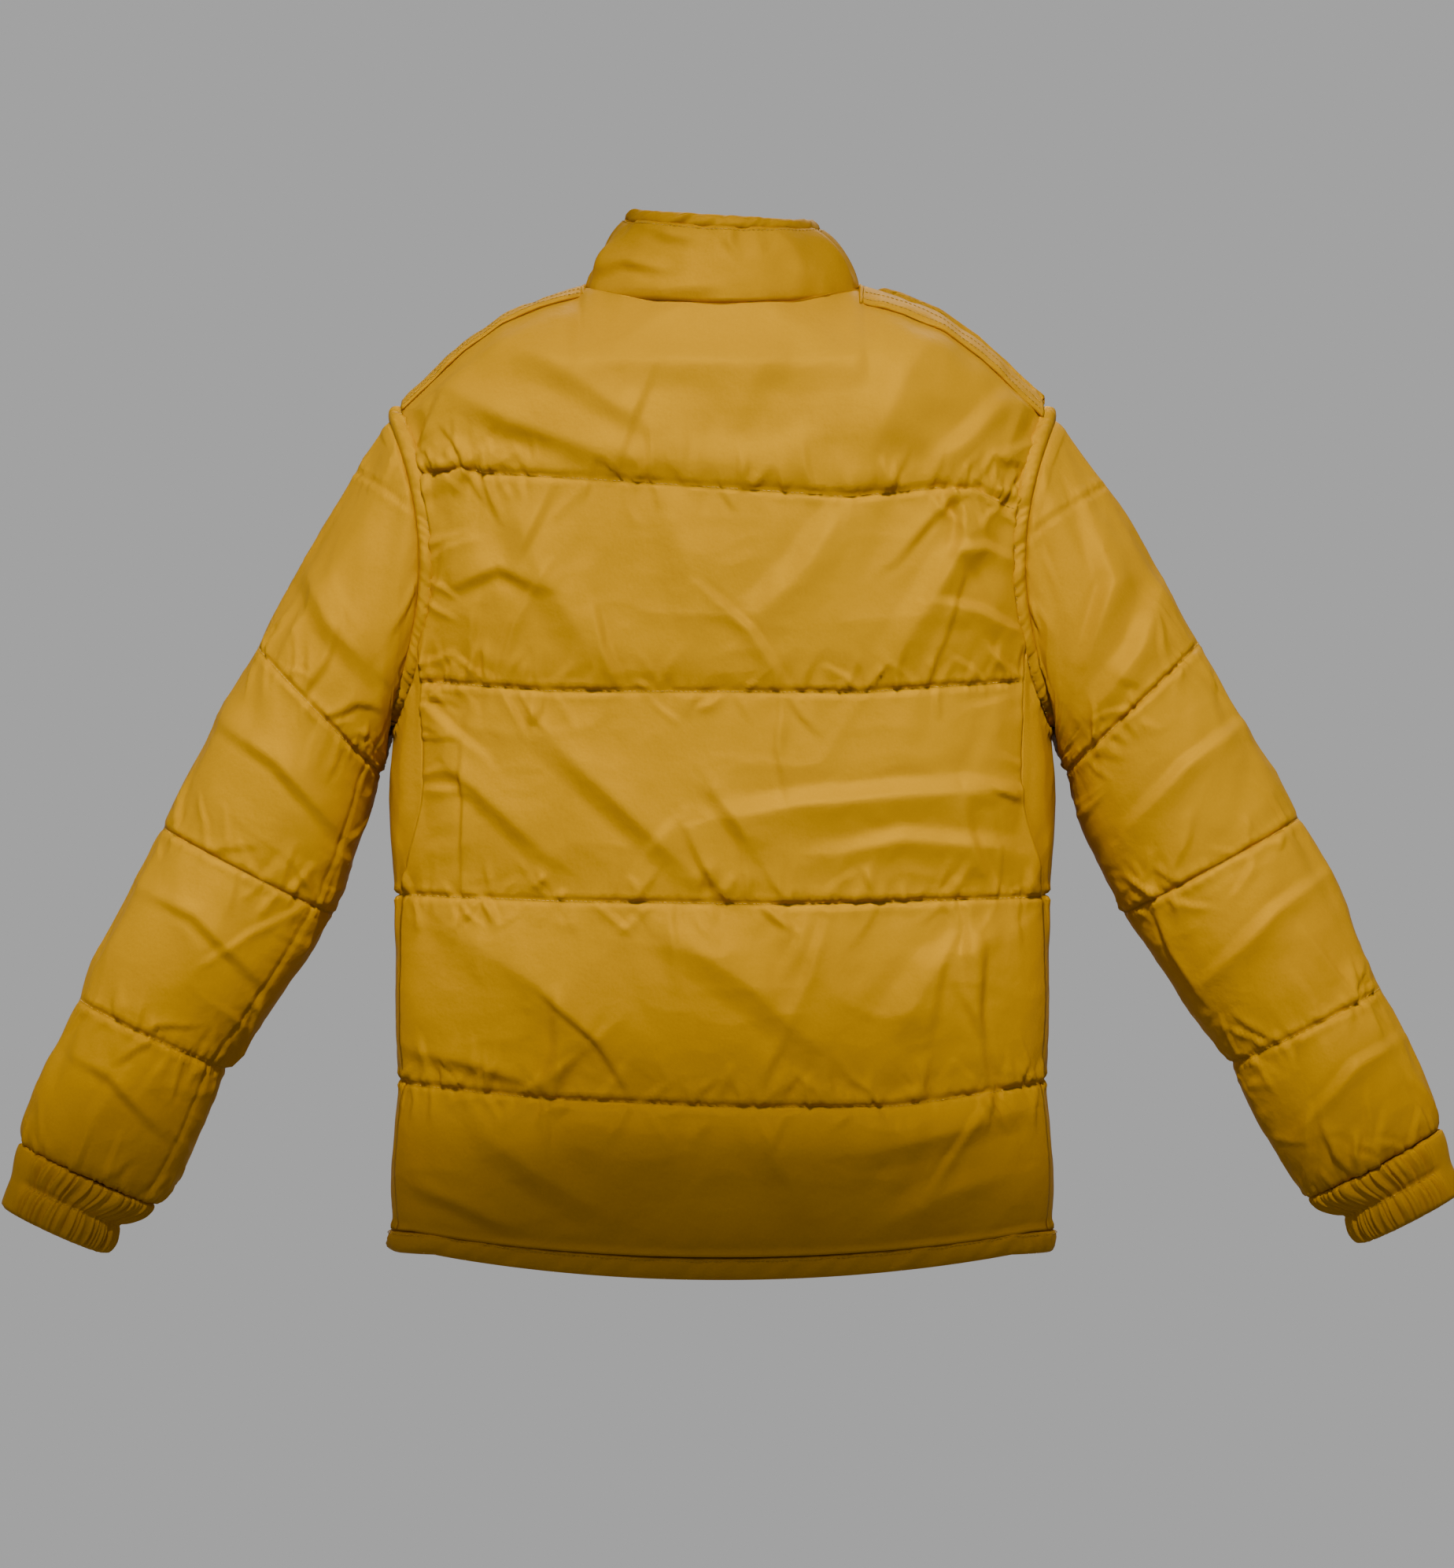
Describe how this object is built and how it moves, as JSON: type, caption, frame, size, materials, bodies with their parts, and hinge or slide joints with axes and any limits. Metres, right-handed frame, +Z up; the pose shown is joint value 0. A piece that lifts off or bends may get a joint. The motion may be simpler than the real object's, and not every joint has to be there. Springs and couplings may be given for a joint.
{
  "type": "padded jacket",
  "caption": "Quilted padded jacket with stand collar, long sleeves, gathered cuffs, full-length front zip and zipped hand pockets, hanging from its neck loop.",
  "frame": {"origin": "the hook point under the hanger loop, inside the centre back of the neck", "axes": "+Z up as the jacket hangs; +Y towards the back of the jacket, -Y the front; +X towards the wearer's left"},
  "size_m": [1.0485, 0.1745, 0.78],
  "materials": {
    "shell": "fine plain-weave taffeta, soft sheen",
    "padding": "bonded fibre wadding, matt",
    "lining": "smooth plain-weave lining, low sheen",
    "elastic": "ribbed woven elastic, matt",
    "zip_tape": "woven tape, matt",
    "zip_teeth": "moulded plastic, satin",
    "zip_metal": "enamelled zinc casting, satin"
  },
  "bodies": {
    "torso": {"armhole_band_left": "shell", "armhole_band_right": "shell", "back_lining": "lining", "back_padding": "padding", "back_shell": "shell", "collar_inner": "shell", "collar_outer": "shell", "collar_padding": "padding", "collar_top_band": "shell", "hanger_loop": "shell", "hem_band_back": "shell", "neck_facing": "shell", "shoulder_strip_left": "shell", "shoulder_strip_right": "shell", "side_lining_left": "lining", "side_lining_right": "lining", "side_padding_left": "padding", "side_padding_right": "padding", "side_panel_left": "shell", "side_panel_right": "shell"},
    "left_front": {"front_lining_left": "lining", "front_padding_left": "padding", "front_shell_left": "shell", "hem_band_front_left": "shell", "pocket_bag_left": "lining", "pocket_zip_left": "zip_tape", "zip_tape_left": "zip_tape", "zip_teeth_left": "zip_teeth"},
    "right_front": {"front_lining_right": "lining", "front_padding_right": "padding", "front_shell_right": "shell", "hem_band_front_right": "shell", "pocket_bag_right": "lining", "pocket_zip_right": "zip_tape", "zip_tape_right": "zip_tape", "zip_teeth_right": "zip_teeth"},
    "lower_sleeve_left": {"cuff_elastic_left": "elastic", "cuff_left": "shell", "sleeve_lower_lining_left": "lining", "sleeve_lower_padding_left": "padding", "sleeve_lower_shell_left": "shell"},
    "lower_sleeve_right": {"cuff_elastic_right": "elastic", "cuff_right": "shell", "sleeve_lower_lining_right": "lining", "sleeve_lower_padding_right": "padding", "sleeve_lower_shell_right": "shell"},
    "main_pull": {"main_zip_pull": "zip_metal"},
    "main_slider": {"main_zip_slider": "zip_metal"},
    "pocket_pull_left_body": {"pocket_pull_left": "zip_metal"},
    "pocket_pull_right_body": {"pocket_pull_right": "zip_metal"},
    "pocket_slider_left_body": {"pocket_slider_left": "zip_metal"},
    "pocket_slider_right_body": {"pocket_slider_right": "zip_metal"},
    "upper_sleeve_left": {"sleeve_upper_lining_left": "lining", "sleeve_upper_padding_left": "padding", "sleeve_upper_shell_left": "shell"},
    "upper_sleeve_right": {"sleeve_upper_lining_right": "lining", "sleeve_upper_padding_right": "padding", "sleeve_upper_shell_right": "shell"}
  },
  "joints": [
    {"name": "left_front_swing", "type": "hinge", "parent": "torso", "child": "left_front", "pos_m": [0.2084, -0.0974, -0.45], "axis": [0, 0, -1], "range_deg": [-35, 0]},
    {"name": "right_front_swing", "type": "hinge", "parent": "torso", "child": "right_front", "pos_m": [-0.2084, -0.0974, -0.45], "axis": [0, 0, 1], "range_deg": [-35, 0]},
    {"name": "main_zip_run", "type": "slide", "parent": "left_front", "child": "main_slider", "axis": [0, 0, 1], "range_m": [0, 0.5795]},
    {"name": "main_pull_hinge", "type": "hinge", "parent": "main_slider", "child": "main_pull", "pos_m": [0, -0.1222, -0.6685], "axis": [-1, 0, 0], "range_deg": [0, 150]},
    {"name": "shoulder_left", "type": "hinge", "parent": "torso", "child": "upper_sleeve_left", "pos_m": [0.2425, -0.038, -0.072], "axis": [0, -1, 0], "range_deg": [0, 30]},
    {"name": "elbow_left", "type": "hinge", "parent": "upper_sleeve_left", "child": "lower_sleeve_left", "pos_m": [0.34455, -0.0945, -0.4083], "axis": [-0.8894, 0, -0.4571], "range_deg": [0, 60]},
    {"name": "pocket_zip_run_left", "type": "slide", "parent": "left_front", "child": "pocket_slider_left_body", "axis": [0.2745, 0.0413, -0.9607], "range_m": [0, 0.1272]},
    {"name": "pocket_pull_hinge_left", "type": "hinge", "parent": "pocket_slider_left_body", "child": "pocket_pull_left_body", "pos_m": [0.10874, -0.1255, -0.44027], "axis": [-0.9492, -0.1486, -0.2776], "range_deg": [0, 150]},
    {"name": "shoulder_right", "type": "hinge", "parent": "torso", "child": "upper_sleeve_right", "pos_m": [-0.2425, -0.038, -0.072], "axis": [0, 1, 0], "range_deg": [0, 30]},
    {"name": "elbow_right", "type": "hinge", "parent": "upper_sleeve_right", "child": "lower_sleeve_right", "pos_m": [-0.355, -0.0945, -0.4045], "axis": [-0.8776, 0, 0.4793], "range_deg": [0, 60]},
    {"name": "pocket_zip_run_right", "type": "slide", "parent": "right_front", "child": "pocket_slider_right_body", "axis": [-0.2745, 0.0413, -0.9607], "range_m": [0, 0.1272]},
    {"name": "pocket_pull_hinge_right", "type": "hinge", "parent": "pocket_slider_right_body", "child": "pocket_pull_right_body", "pos_m": [-0.10874, -0.1255, -0.44027], "axis": [-0.9492, 0.1486, 0.2776], "range_deg": [0, 150]}
  ]
}
